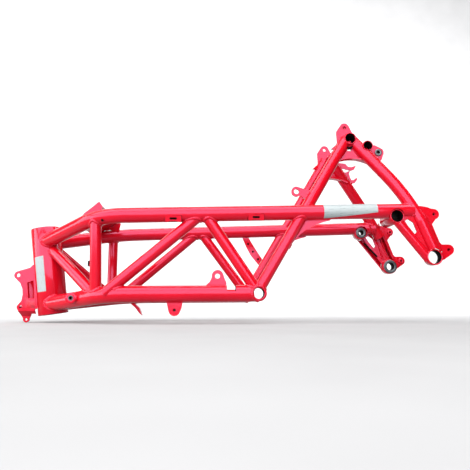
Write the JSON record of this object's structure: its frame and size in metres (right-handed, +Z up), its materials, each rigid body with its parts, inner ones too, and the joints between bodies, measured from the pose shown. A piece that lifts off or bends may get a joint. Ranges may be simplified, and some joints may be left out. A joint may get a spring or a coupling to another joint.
{
  "type": "tubular trellis chassis frame",
  "caption": "Bare welded tubular steel trellis frame with a steering head, two side trusses and a rear tower, in glossy red paint.",
  "frame": {"origin": "middle of the bounding box in plan, at the height of the lowest point, the foot ear of the front bracket", "axes": "+X from the steering head to the rear along the rails, +Y to the right-hand truss, +Z up, rails level as shown"},
  "size_m": [0.8362, 0.2712, 0.3971],
  "materials": {
    "red_paint": "glossy red paint over welded steel",
    "bare_steel": "turned bare steel",
    "label_stock": "plain white sticker"
  },
  "bodies": {
    "root": {"upper_rail_left": "red_paint", "lower_rail_left": "red_paint", "front_diagonal_left": "red_paint", "front_strut_left": "red_paint", "middle_diagonal_left": "red_paint", "rear_diagonal_left": "red_paint", "rear_strut_left": "red_paint", "riser_tube_left": "red_paint", "descending_tube_left": "red_paint", "arch_gusset_left": "red_paint", "engine_mount_boss_left": "red_paint", "pivot_boss_left": "red_paint", "lower_pivot_boss_left": "red_paint", "lower_rail_boss_left": "red_paint", "rear_leg_pressing_left": "red_paint", "rear_edge_plate_left": "red_paint", "top_ear_left": "red_paint", "rail_gusset_left": "red_paint", "upper_rail_right": "red_paint", "lower_rail_right": "red_paint", "front_diagonal_right": "red_paint", "front_strut_right": "red_paint", "middle_diagonal_right": "red_paint", "rear_diagonal_right": "red_paint", "rear_strut_right": "red_paint", "riser_tube_right": "red_paint", "descending_tube_right": "red_paint", "arch_gusset_right": "red_paint", "engine_mount_boss_right": "red_paint", "pivot_boss_right": "red_paint", "lower_pivot_boss_right": "red_paint", "lower_rail_boss_right": "red_paint", "rear_leg_pressing_right": "red_paint", "rear_edge_plate_right": "red_paint", "top_ear_right": "red_paint", "rail_gusset_right": "red_paint", "head_tube": "red_paint", "upper_bearing_cup": "bare_steel", "lower_bearing_cup": "bare_steel", "front_bracket_left": "red_paint", "front_bracket_right": "red_paint", "head_cross_plate": "red_paint", "top_cross_tube": "red_paint", "tower_boss": "red_paint", "pivot_bush": "bare_steel", "lower_pivot_bush": "bare_steel", "riser_hook_bracket": "red_paint", "three_hole_strap": "red_paint", "insert_ear": "red_paint", "tower_insert": "bare_steel", "cable_hook_upper": "red_paint", "cable_hook_lower": "red_paint", "rail_top_tab": "red_paint", "underside_tab": "red_paint", "underside_bracket": "red_paint", "nut_pad_front": "red_paint", "nut_pad_rear": "red_paint", "head_sticker": "label_stock", "rail_sticker": "label_stock"}
  },
  "joints": []
}
